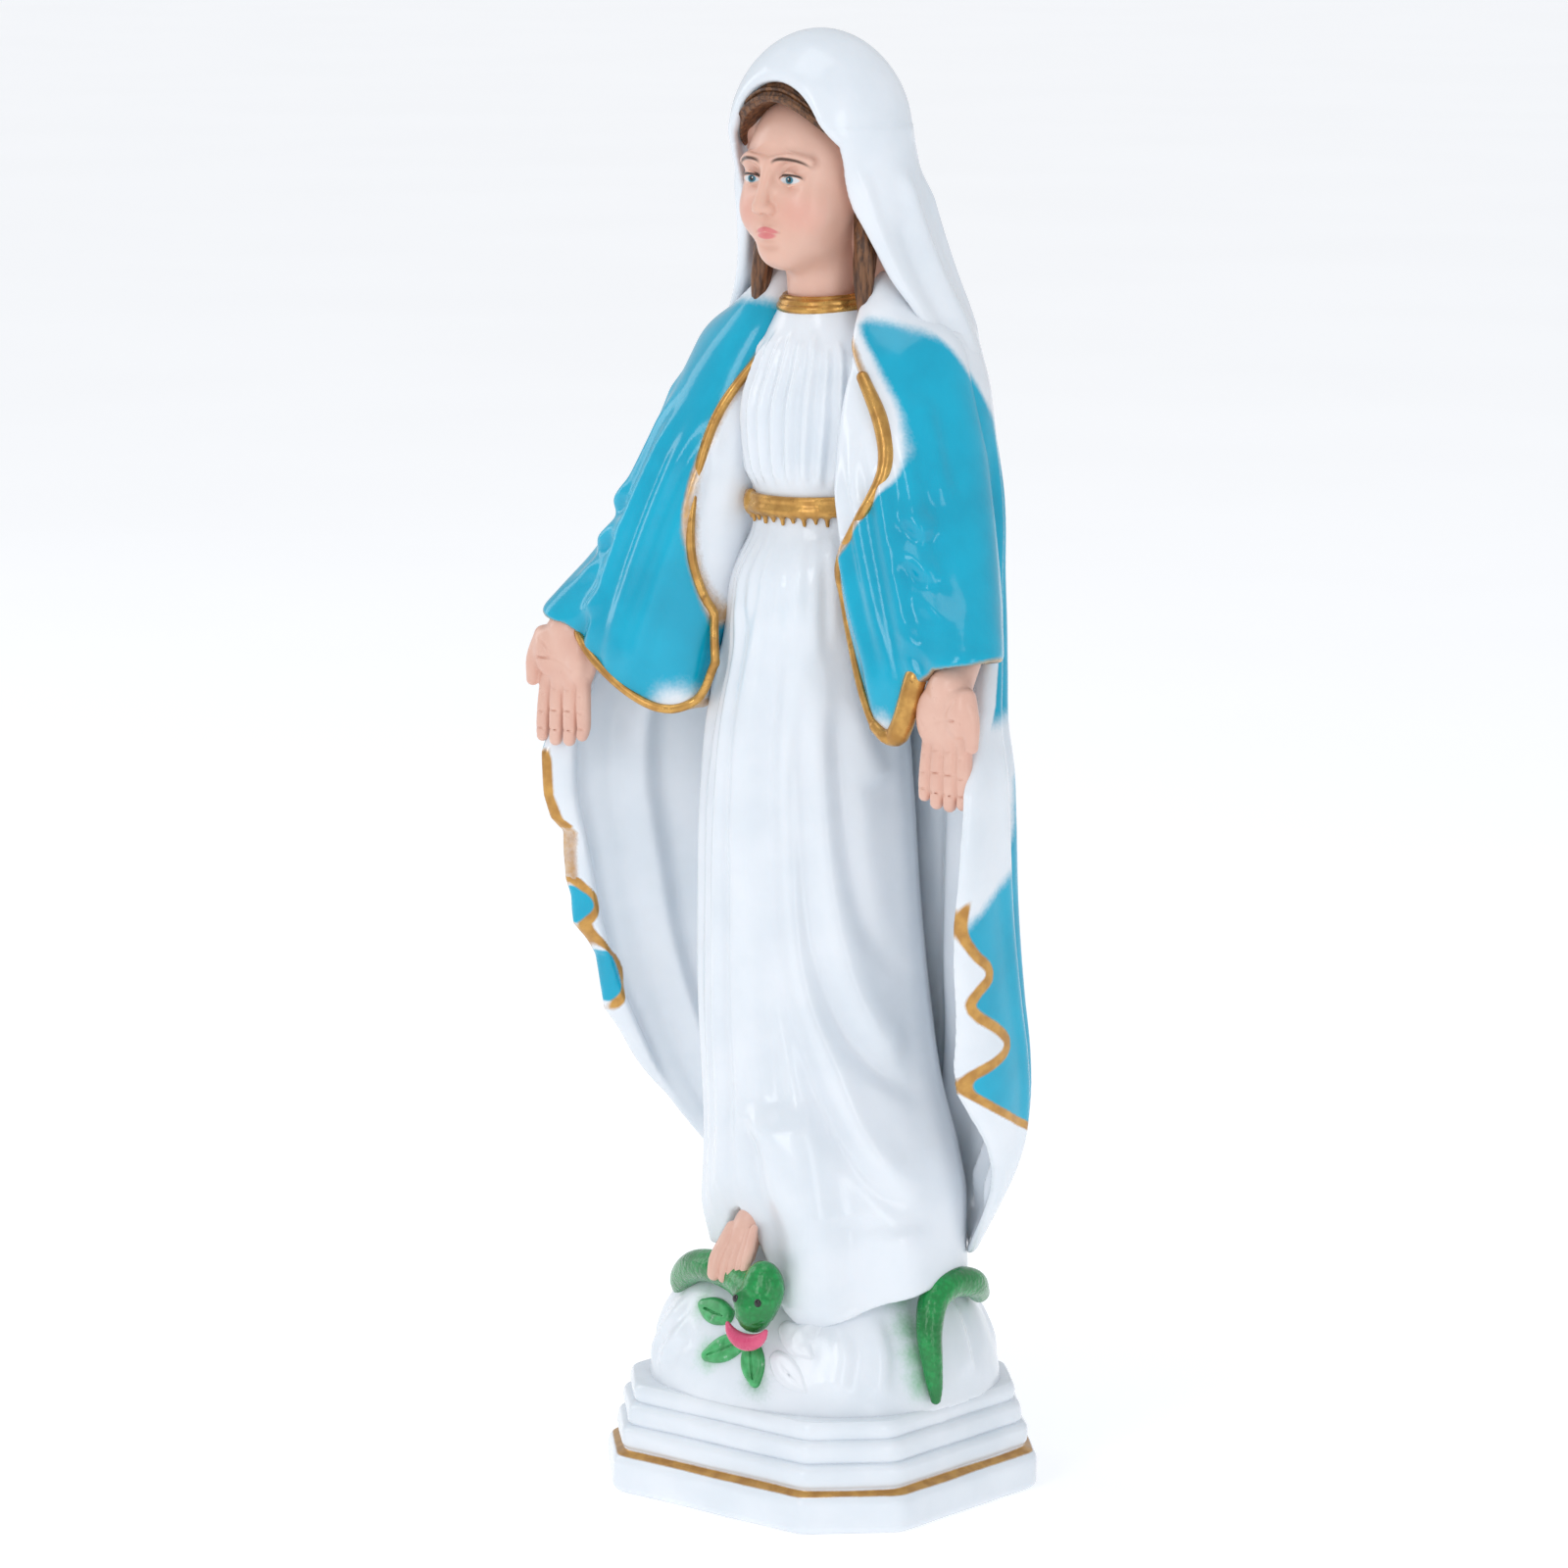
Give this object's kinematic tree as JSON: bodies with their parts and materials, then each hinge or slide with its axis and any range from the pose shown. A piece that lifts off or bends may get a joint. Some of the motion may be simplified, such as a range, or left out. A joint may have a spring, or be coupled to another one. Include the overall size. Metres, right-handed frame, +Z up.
{
  "type": "madonna statue",
  "caption": "Standing robed and veiled figure with open lowered hands, on a globe with a serpent and leaves, over a stepped octagonal plinth.",
  "frame": {"origin": "middle of the flat underside of the plinth", "axes": "+Z up from the underside to the top of the veil; the figure faces -Y; the figure's own left side is +X"},
  "size_m": [0.116, 0.074, 0.3],
  "materials": {
    "milk_white_plastic": "glossy, slightly translucent bare plastic",
    "turquoise_paint": "glossy airbrushed paint on plastic",
    "gold_paint": "metallic bronze-gold paint on plastic",
    "flesh_paint": "satin flesh paint on plastic",
    "hair_paint": "satin brown paint on plastic",
    "serpent_green_paint": "glossy green paint on plastic",
    "leaf_green_paint": "soft airbrushed green on plastic",
    "pink_paint": "glossy pink paint on plastic",
    "base_white_plastic": "matte white closing parts"
  },
  "bodies": {
    "root": {"plinth_front_shell": "milk_white_plastic", "plinth_rear_shell": "milk_white_plastic", "base_plate": "base_white_plastic", "base_plug": "base_white_plastic", "globe": "milk_white_plastic", "tunic": "milk_white_plastic", "mantle_rear_shell": "turquoise_paint", "right_sleeve": "turquoise_paint", "left_sleeve": "turquoise_paint", "head": "flesh_paint", "hair_fringe": "hair_paint", "right_hair_lock": "hair_paint", "left_hair_lock": "hair_paint", "veil_front_shell": "milk_white_plastic", "veil_rear_shell": "milk_white_plastic", "right_hand": "flesh_paint", "left_hand": "flesh_paint", "waist_band": "gold_paint", "neck_band": "gold_paint", "right_hem_trim": "gold_paint", "left_hem_trim": "gold_paint", "right_foot": "flesh_paint", "serpent_body": "serpent_green_paint", "serpent_head": "serpent_green_paint", "serpent_tail": "serpent_green_paint", "bitten_fruit": "pink_paint", "green_leaves": "leaf_green_paint", "plain_leaves": "milk_white_plastic"}
  },
  "joints": []
}
